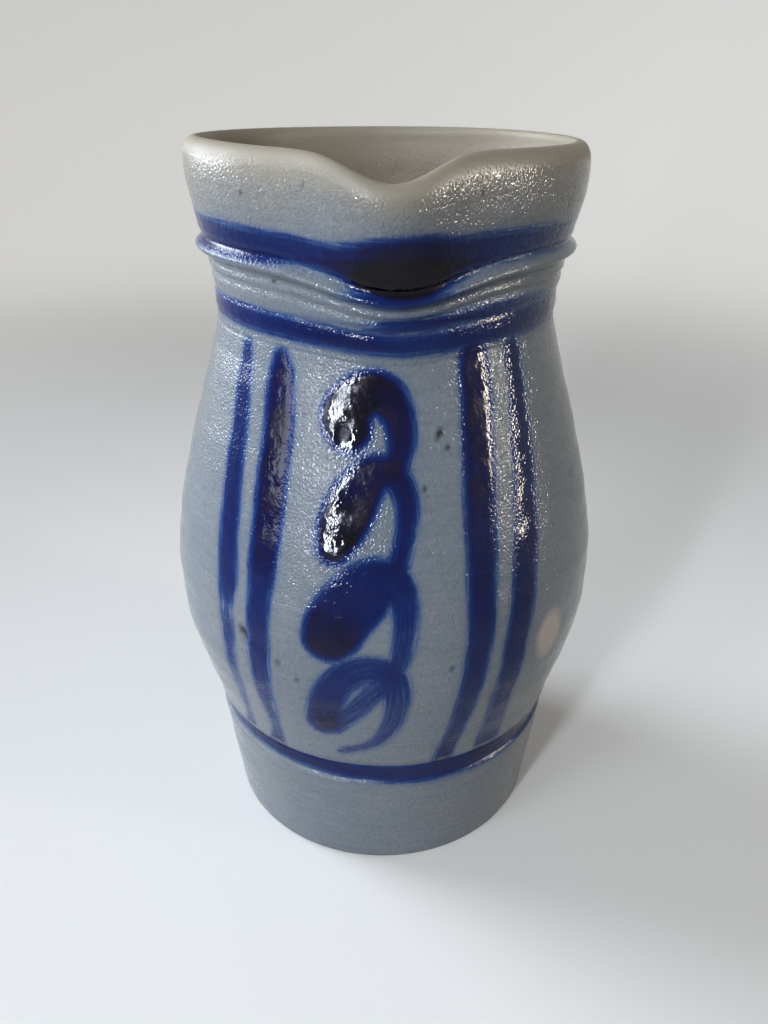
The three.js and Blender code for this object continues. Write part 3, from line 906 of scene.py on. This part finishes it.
class NodeAdder:
    """Adds nodes to a tree by short calls. A value that is a socket is linked in."""

    def __init__(self, tree):
        self.tree = tree

    def put(self, socket, value):
        if isinstance(value, bpy.types.NodeSocket):
            self.tree.links.new(value, socket)
        else:
            socket.default_value = value

    def node(self, kind, output, values, **settings):
        node = self.tree.nodes.new(kind)
        for key, value in settings.items():
            setattr(node, key, value)
        for key, value in values.items():
            self.put(node.inputs[key], value)
        return node.outputs[output]

    def group(self, group, values):
        node = self.tree.nodes.new("ShaderNodeGroup")
        node.node_tree = group
        for key, value in values.items():
            self.put(node.inputs[key], value)
        return node.outputs

    def math(self, operation, a, b=0.0, c=0.0, clamp=False):
        return self.node("ShaderNodeMath", 0, {0: a, 1: b, 2: c}, operation=operation,
                         use_clamp=clamp)

    def ramp(self, value, low, high, to_low=0.0, to_high=1.0, kind="SMOOTHSTEP"):
        return self.node(
            "ShaderNodeMapRange", 0,
            {0: value, 1: low, 2: high, 3: to_low, 4: to_high}, interpolation_type=kind)

    def mix(self, factor, a, b, blend="MIX"):
        return self.node("ShaderNodeMix", 2, {0: factor, 6: a, 7: b}, data_type="RGBA",
                         blend_type=blend)

    def grey(self, value):
        return self.node("ShaderNodeCombineColor", 0, {0: value, 1: value, 2: value})

    def stretched(self, vector, scale):
        return self.node("ShaderNodeMapping", 0, {"Vector": vector, "Scale": scale})

    def noise(self, vector, size, detail=2.0, rough=0.5):
        return self.node("ShaderNodeTexNoise", 0, {
            "Vector": vector, "Scale": 1 / size, "Detail": detail, "Roughness": rough})

    def cells(self, vector, size, feature="F1"):
        return self.node(
            "ShaderNodeTexVoronoi", 0, {"Vector": vector, "Scale": 1 / size}, feature=feature)

    def attribute(self, name, output="Fac"):
        return self.node("ShaderNodeAttribute", output, {}, attribute_name=name)


COLOUR = "NodeSocketColor"
NUMBER = "NodeSocketFloat"
VECTOR = "NodeSocketVector"

# Against the size of the peel's bumps: the soft blobs that take their place under cobalt, and
# the slow swell of the glaze and of its gloss. Then how high both stand beside a bump
BLOB_SIZE = 4
SWELL_SIZE = 9
BLOB_HEIGHT = 0.7
SWELL_HEIGHT = 0.9

# Noises, each with its size, detail and roughness: clouds of warmer clay, mottling, rings and
# the patches that have grains, then the fringe of a stroke, its patches, its hairs and the
# spots where it is overfired and has a painted purple sheen. Three are stretched. The last
# pair is where most of a noise lies
CLOUDS = (24 * MM, 3.0, 0.6)
MOTTLE = (1.3 * MM, 3.0, 0.65)
CLAY_RINGS = (1.1 * MM, 2.0, 0.6)
CLAY_RINGS_STRETCH = (0.06, 0.06, 1)
GRAIN_PATCHES = (15 * MM, 2.0, 0.5)
FRINGE = (0.9 * MM, 2.0, 0.6)
FRINGE_STRETCH = (1, 1, 0.25)
BLUE_PATCHES = (6 * MM, 3.0, 0.6)
HAIRS = (1.0, 3.0, 0.6)
HAIRS_STRETCH = (1.4, 0.07, 1)
BURNT_AND_SHEEN_SPOTS = (7 * MM, 4.0, 0.6)
MOST_NOISE = (0.3, 0.7)

# What they do to the clay: the noise over which clouds warm it, by how much, what the whole
# body cools by, and the shades of the mottling and the rings. Then the size of the cells of
# grains, how far a grain fills one, the noise over which they come in and their strength there
CLOUD_NOISE = (0.35, 0.7)
CLOUD_WARMTH = 0.3
COOLNESS = 0.1
MOTTLE_SHADES = (0.88, 1.1)
RING_SHADES = (0.93, 1.07)
GRAIN_SIZE = 3.4 * MM
GRAIN_EDGE = (0.13, 0.06)
GRAIN_NOISE = (0.45, 0.7)
GRAIN_STRENGTH = 0.5

# What they do to the load of cobalt, as a factor and an offset of the noise
FRINGE_CHANGE = (0.24, -0.12)
BLUE_PATCH_CHANGE = (0.3, -0.15)
HAIR_CHANGE = (0.95, -0.5)

# The layers of cobalt, with the loads between which each covers the one before
COBALT_LAYERS = {
    "Thin": (0.0, 0.26, "LINEAR"),
    "Full": (0.16, 0.52, "LINEAR"),
    "Deep": (0.55, 0.95, "LINEAR"),
    "Pool": (0.84, 1.28, "SMOOTHSTEP"),
}

# Loads between which the hairs of the brush show, the edge of a stroke begins and cobalt
# burns, the noise of the overfired spots and how much of their purple-brown they take,
# which is partly a painted purple sheen
HAIR_LOADS = (0.9, 0.5)
EDGE_LOADS = (0.02, 0.35)
BURNT_AND_SHEEN_LOADS = (0.85, 1.0)
BURNT_AND_SHEEN_NOISE = (0.42, 0.62)
BURNT_AND_SHEEN_SHARE = 0.5

# The finish: heights between which the clay turns warm, loads over which cobalt turns glassy,
# the dry part of the crest, how much of the peel it hides, how high the cloth marks stand
# beside a bump of the peel, and how strong the specks are
# The warm clay starts high on the collar, so that its lower part keeps the darker cool clay,
# partly as painted shade under the lip
WARM_HEIGHTS = (0.178, 0.199)
GLASSY_LOADS = (0.2, 1.08)
DRY_CREST = (0.35, 0.85)
CREST_COVER = 0.8
CLOTH_DEPTH = 0.22
SPECK_STRENGTH = 1.2

# Roughness of the glaze, and what glass, dry clay, flaws and specks add to it
GLAZE_ROUGHNESS = (0.06, 0.13)
GLASSY_ROUGHNESS = -0.02
DRY_ROUGHNESS = 0.4
FLAW_ROUGHNESS = 0.15
SPECK_ROUGHNESS = 0.5
GLAZE_IOR = 1.3


def salt_peel_group(glaze):
    """Orange peel of a salt glaze: small domes close together, which drown in cobalt."""
    group, given, result = new_group(
        "salt_peel", (("Vector", VECTOR, None), ("Glassy", NUMBER, 0.0)),
        (("Height", NUMBER), ("Gloss", NUMBER)))
    add = NodeAdder(group)
    place = given["Vector"]
    away = add.cells(place, glaze.peel, "SMOOTH_F1")
    domes = add.math("MULTIPLY_ADD", add.math("MULTIPLY", away, away), -1.0, 1.0)
    blobs = add.noise(place, BLOB_SIZE * glaze.peel)
    blobs = add.math("MULTIPLY", blobs, BLOB_HEIGHT)
    swell = add.noise(place, SWELL_SIZE * glaze.peel)
    height = add.node("ShaderNodeMix", 0, {0: given["Glassy"], 2: domes, 3: blobs})
    add.put(result["Height"], add.math("MULTIPLY_ADD", swell, SWELL_HEIGHT, height))
    add.put(result["Gloss"], add.noise(place, SWELL_SIZE * glaze.peel, 3.0))
    return group


def fired_clay_group(glaze):
    """Colour of the fired body: cool belly, warm collar, mottling, rings and iron specks."""
    group, given, result = new_group(
        "fired_clay",
        (("Vector", VECTOR, None), ("Warmth", NUMBER, 0.0), ("Cool", COLOUR, glaze.clay),
         ("Warm", COLOUR, glaze.warm_clay), ("Iron", COLOUR, glaze.iron)),
        (("Color", COLOUR),))
    add = NodeAdder(group)
    place = given["Vector"]
    clouds = add.ramp(add.noise(place, *CLOUDS), *CLOUD_NOISE)
    warmth = add.math("MULTIPLY_ADD", clouds, CLOUD_WARMTH, given["Warmth"])
    warmth = add.math("SUBTRACT", warmth, COOLNESS, clamp=True)
    tint = add.mix(warmth, given["Cool"], given["Warm"])
    mottle = add.noise(place, *MOTTLE)
    rings = add.noise(add.stretched(place, CLAY_RINGS_STRETCH), *CLAY_RINGS)
    shade = add.math(
        "MULTIPLY", add.ramp(mottle, *MOST_NOISE, *MOTTLE_SHADES, "LINEAR"),
        add.ramp(rings, *MOST_NOISE, *RING_SHADES, "LINEAR"))
    tint = add.mix(1.0, tint, add.grey(shade), "MULTIPLY")
    grains = add.ramp(add.cells(place, GRAIN_SIZE), *GRAIN_EDGE)
    patches = add.noise(place, *GRAIN_PATCHES)
    patches = add.ramp(patches, *GRAIN_NOISE, 0.0, GRAIN_STRENGTH)
    fine = add.math("MULTIPLY", grains, patches)
    add.put(result["Color"], add.mix(fine, tint, given["Iron"]))
    return group


def cobalt_group(glaze):
    """Cobalt on the clay by its load: a thin wash, full blue, deep blue and a pool."""
    group, given, result = new_group(
        "cobalt",
        (("Vector", VECTOR, None), ("Clay", COLOUR, glaze.clay), ("Load", NUMBER, 0.0),
         ("Brush", VECTOR, None), ("Thin", COLOUR, glaze.thin_blue), ("Full", COLOUR, glaze.blue),
         ("Deep", COLOUR, glaze.deep_blue), ("Pool", COLOUR, glaze.pool),
         ("Burnt And Sheen", COLOUR, glaze.burnt_and_sheen)),
        (("Color", COLOUR), ("Burnt And Sheen", NUMBER)))
    add = NodeAdder(group)
    place = given["Vector"]
    fringe = add.noise(add.stretched(place, FRINGE_STRETCH), *FRINGE)
    bleed = add.math("MULTIPLY_ADD", fringe, *FRINGE_CHANGE)
    patches = add.noise(place, *BLUE_PATCHES)
    patchy = add.math("MULTIPLY_ADD", patches, *BLUE_PATCH_CHANGE)
    hairs = add.noise(add.stretched(given["Brush"], HAIRS_STRETCH), *HAIRS)
    thin = add.ramp(given["Load"], *HAIR_LOADS)
    streak = add.math("MULTIPLY", add.math("MULTIPLY_ADD", hairs, *HAIR_CHANGE), thin)
    change = add.math("ADD", streak, add.math("ADD", bleed, patchy))
    edge = add.ramp(given["Load"], *EDGE_LOADS)
    load = add.math("MULTIPLY_ADD", change, edge, given["Load"])
    tint = given["Clay"]
    for layer, (low, high, kind) in COBALT_LAYERS.items():
        tint = add.mix(add.ramp(load, low, high, kind=kind), tint, given[layer])
    # Overfired spots on thick cobalt: their purple-brown is partly real colour, partly a painted
    # purple sheen
    spots = add.ramp(add.noise(place, *BURNT_AND_SHEEN_SPOTS), *BURNT_AND_SHEEN_NOISE)
    burnt_and_sheen = add.math("MULTIPLY", spots, add.ramp(load, *BURNT_AND_SHEEN_LOADS))
    share = add.math("MULTIPLY", burnt_and_sheen, BURNT_AND_SHEEN_SHARE)
    add.put(result["Color"], add.mix(share, tint, given["Burnt And Sheen"]))
    add.put(result["Burnt And Sheen"], burnt_and_sheen)
    return group


def shared_groups(glaze):
    """The node groups, built on the first call and used again after it."""
    makers = {
        "salt_peel": salt_peel_group,
        "fired_clay": fired_clay_group,
        "cobalt": cobalt_group,
    }
    return {name: bpy.data.node_groups.get(name) or make(glaze) for name, make in makers.items()}


def stoneware(name, glaze, painted):
    """Salt-glazed stoneware, warmer up the collar, with cobalt and flaws where painted."""
    groups = shared_groups(glaze)
    material = bpy.data.materials.new(name)
    material.use_nodes = True
    tree = material.node_tree
    add = NodeAdder(tree)
    surface = tree.nodes["Principled BSDF"].inputs
    place = add.node("ShaderNodeTexCoord", "Object", {})
    height = add.node("ShaderNodeSeparateXYZ", 2, {0: place})
    warmth = add.ramp(height, *WARM_HEIGHTS)
    tint = add.group(groups["fired_clay"], {"Vector": place, "Warmth": warmth})["Color"]
    gloss_loss = 0.0
    glassy = 0.0
    if painted:
        inside, crest, bare = map(add.attribute, ("inside", "crest", "bare"))
        speck = add.math("MULTIPLY", add.attribute("speck"), SPECK_STRENGTH, clamp=True)
        # The dry inside carries painted shade deep in the jug; the paler crest colour keeps the
        # wall near the rim lighter
        for share, shade in ((inside, glaze.dry_clay_and_shade), (crest, glaze.crest_clay),
                             (bare, glaze.bare_spot), (speck, glaze.iron)):
            tint = add.mix(share, tint, shade)
        cobalt = add.group(groups["cobalt"], {
            "Vector": place, "Clay": tint, "Load": add.attribute("cobalt"),
            "Brush": add.attribute("brush", "Vector")})
        tint = cobalt["Color"]
        glassy = add.ramp(add.attribute("cobalt"), *GLASSY_LOADS, kind="LINEAR")
        dry = add.math("MAXIMUM", inside, add.ramp(crest, *DRY_CREST))
        gloss_loss = add.math("MULTIPLY", bare, FLAW_ROUGHNESS)
        for part, rougher in ((dry, DRY_ROUGHNESS), (cobalt["Burnt And Sheen"], FLAW_ROUGHNESS),
                              (speck, SPECK_ROUGHNESS)):
            gloss_loss = add.math("MULTIPLY_ADD", part, rougher, gloss_loss)
    peel = add.group(groups["salt_peel"], {"Vector": place, "Glassy": glassy})
    peel_height = peel["Height"]
    if painted:
        across = add.node("ShaderNodeVectorMath", 1, {0: place, 1: (1, 0, 1)},
                          operation="DOT_PRODUCT")
        turns = add.math("MULTIPLY", across, math.sqrt(2) * math.pi / CLOTH_PITCH)
        lines = add.math("SINE", turns)
        marks = add.math("MULTIPLY", lines, add.attribute("cloth"))
        covered = add.math("MULTIPLY_ADD", crest, -CREST_COVER, 1.0)
        peel_height = add.math("MULTIPLY", peel_height, covered)
        peel_height = add.math("MULTIPLY_ADD", marks, CLOTH_DEPTH, peel_height)
    gloss = add.ramp(peel["Gloss"], *MOST_NOISE, *GLAZE_ROUGHNESS, "LINEAR")
    gloss = add.math("MULTIPLY_ADD", glassy, GLASSY_ROUGHNESS, gloss)
    gloss = add.math("ADD", gloss, gloss_loss)
    bump = add.node("ShaderNodeBump", 0, {
        "Strength": 1.0, "Distance": glaze.peel_depth, "Height": peel_height})
    add.put(surface["Base Color"], tint)
    add.put(surface["Roughness"], gloss)
    add.put(surface["Normal"], bump)
    add.put(surface["IOR"], GLAZE_IOR)
    return material


class ThrowBody(bpy.types.Operator):
    """Throw the body, pull its lip, and paint and glaze it"""

    bl_idname = "jug.throw_body"
    bl_label = "Throw Body"

    def execute(self, context):
        scene = context.scene
        body, outer, around, pull = throw_body(scene.jug_body, scene.jug_lip)
        paint(body, scene.jug_glaze, outer, around, pull)
        body.data.materials.append(stoneware("salt_glazed_stoneware", scene.jug_glaze, True))
        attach(body, "root")
        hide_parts("jug_body")
        return {"FINISHED"}


class PullHandle(bpy.types.Operator):
    """Pull the strap handle and lute it onto the back of the body"""

    bl_idname = "jug.pull_handle"
    bl_label = "Pull Handle"

    def execute(self, context):
        scene = context.scene
        strap = pull_handle(scene.jug_body, scene.jug_handle)
        strap.data.materials.append(stoneware("salt_glazed_handle", scene.jug_glaze, False))
        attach(strap, "root")
        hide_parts("handle")
        return {"FINISHED"}


# The backdrop: the rings of its flat floor, the radius of its wall, how high its curve and its
# wall rise, the spacing of that curve, its steps round, and the distances over which its glow
# comes in. Then how near to the camera the picture starts
FLAT_RADII = (0, 0.3, 0.7)
BACKDROP_RADIUS = 1.3
CURVE_RISE = 0.6
WALL_RISE = 0.6
CURVE_SPACING = 0.05
BACKDROP_STEPS = 96
GLOW_REACH = (0.25, 0.95)
BACKDROP_ROUGHNESS = 0.8
NEAREST = 0.01

# Lights: degrees round from the front, distance, height, size, power in watts, spread in
# degrees, and the height on the jug's axis that they are aimed at. Those on the left have
# daylight and those on the right lamplight. A gleam is the part of a window that only glaze
# shows
LIGHTS = {
    "left_curtain": (-52, 0.8, 0.36, (0.3, 0.5), 0.46, 60, 0.2),
    "left_window": (-28, 0.8, 0.34, (0.06, 0.54), 1.0, 80, 0.1),
    "left_gleam": (-28, 0.79, 0.34, (0.06, 0.54), 1.7, 80, 0.1),
    "right_window": (71, 0.8, 0.3, (0.05, 0.5), 0.25, 80, 0.1),
    "right_gleam": (71, 0.79, 0.3, (0.05, 0.5), 1.4, 80, 0.1),
    "left_wall": (-112, 0.9, 0.5, (0.6, 0.6), 1.9, 50, 0.24),
}

# Strength of the even light from all round
ROOM_LIGHT = 0.45


def add_camera(scene, stage):
    """The camera at the photograph's place and angle."""
    data = bpy.data.cameras.new("photo_camera")
    data.lens = stage.lens
    data.clip_start = NEAREST
    camera = bpy.data.objects.new("photo_camera", data)
    camera.matrix_world = (
        Matrix.Translation((0, -stage.camera_back, stage.camera_height))
        @ Matrix.Rotation(math.radians(90) - stage.pitch, 4, "X")
        @ Matrix.Rotation(stage.roll, 4, "Z"))
    scene.collection.objects.link(camera)
    scene.camera = camera


def add_backdrop(stage):
    """A pale dish: the floor, which curves up into a wall all round."""
    rim = Vector((BACKDROP_RADIUS, CURVE_RISE))
    outline = [Vector((radius, 0)) for radius in FLAT_RADII]
    outline += bend(outline[-1], Vector((rim.x, 0)), rim, CURVE_SPACING)
    outline.append(rim + Vector((0, WALL_RISE)))
    backdrop = finished("backdrop", turned_shell(outline, BACKDROP_STEPS))
    material = bpy.data.materials.new("pale_backdrop")
    material.use_nodes = True
    surface = material.node_tree.nodes["Principled BSDF"].inputs
    add = NodeAdder(material.node_tree)
    seen = 0.0
    for ray in ("Is Camera Ray", "Is Glossy Ray", "Is Transmission Ray"):
        seen = add.math("ADD", seen, add.node("ShaderNodeLightPath", ray, {}), clamp=True)
    add.put(surface["Base Color"], add.mix(seen, stage.bounce, stage.backdrop))
    add.put(surface["Roughness"], BACKDROP_ROUGHNESS)
    add.put(surface["Specular IOR Level"], 0.0)
    place = add.node("ShaderNodeTexCoord", "Object", {})
    away = add.node("ShaderNodeVectorMath", 1, {0: place}, operation="LENGTH")
    glow = add.math("MULTIPLY", add.ramp(away, *GLOW_REACH), stage.wall_glow)
    add.put(surface["Emission Color"], stage.backdrop)
    add.put(surface["Emission Strength"], add.math("MULTIPLY", seen, glow))
    backdrop.data.materials.append(material)


def add_light(name, stage, degrees, distance, height, size, power, spread, target):
    """A soft light like a window, by a row of the table of lights."""
    tint = stage.daylight if name.startswith("left") else stage.lamplight
    data = bpy.data.lights.new(name, "AREA")
    data.shape = "RECTANGLE"
    data.size, data.size_y = size
    data.energy = power
    data.color = tint[:3]
    data.spread = math.radians(spread)
    around = math.radians(degrees)
    place = Vector((math.sin(around) * distance, -math.cos(around) * distance, height))
    aim = Vector((0, 0, target)) - place
    lamp = bpy.data.objects.new(name, data)
    lamp.matrix_world = (
        Matrix.Translation(place) @ aim.to_track_quat("-Z", "Y").to_matrix().to_4x4())
    lamp.visible_camera = False
    lamp.visible_diffuse = not name.endswith("gleam")
    bpy.context.scene.collection.objects.link(lamp)


class SetStage(bpy.types.Operator):
    """Set up the camera, the pale floor and backdrop, and the soft lights"""

    bl_idname = "jug.set_stage"
    bl_label = "Set Stage"

    def execute(self, context):
        scene = context.scene
        stage = scene.jug_stage
        add_camera(scene, stage)
        add_backdrop(stage)
        for name, numbers in LIGHTS.items():
            add_light(name, stage, *numbers)
        world = bpy.data.worlds.new("soft_room")
        world.use_nodes = True
        background = world.node_tree.nodes["Background"].inputs
        background["Color"].default_value = (1, 1, 1, 1)
        background["Strength"].default_value = ROOM_LIGHT
        scene.world = world
        scene.view_settings.view_transform = "Standard"
        return {"FINISHED"}


class JugPanel(bpy.types.Panel):
    """Buttons and sizes of the jug"""

    bl_idname = "JUG_PT_make"
    bl_label = "Salt-Glazed Jug"
    bl_space_type = "VIEW_3D"
    bl_region_type = "UI"
    bl_category = "Jug"

    def draw(self, context):
        for operator in OPERATORS:
            self.layout.operator(operator.bl_idname)
        for name, group in GROUPS.items():
            box = self.layout.box()
            box.label(text=group.__doc__)
            for key in group.__annotations__:
                box.prop(getattr(context.scene, name), key)


OPERATORS = (SetStage, ThrowBody, PullHandle)
CLASSES = (*GROUPS.values(), *OPERATORS, JugPanel)


def register():
    for made_class in CLASSES:
        bpy.utils.register_class(made_class)
    for name, group in GROUPS.items():
        setattr(bpy.types.Scene, name, PointerProperty(type=group))


def unregister():
    for name in GROUPS:
        delattr(bpy.types.Scene, name)
    for made_class in reversed(CLASSES):
        bpy.utils.unregister_class(made_class)


def main():
    register()
    bpy.ops.jug.set_stage()
    bpy.ops.jug.throw_body()
    bpy.ops.jug.pull_handle()


if __name__ == "__main__":
    main()
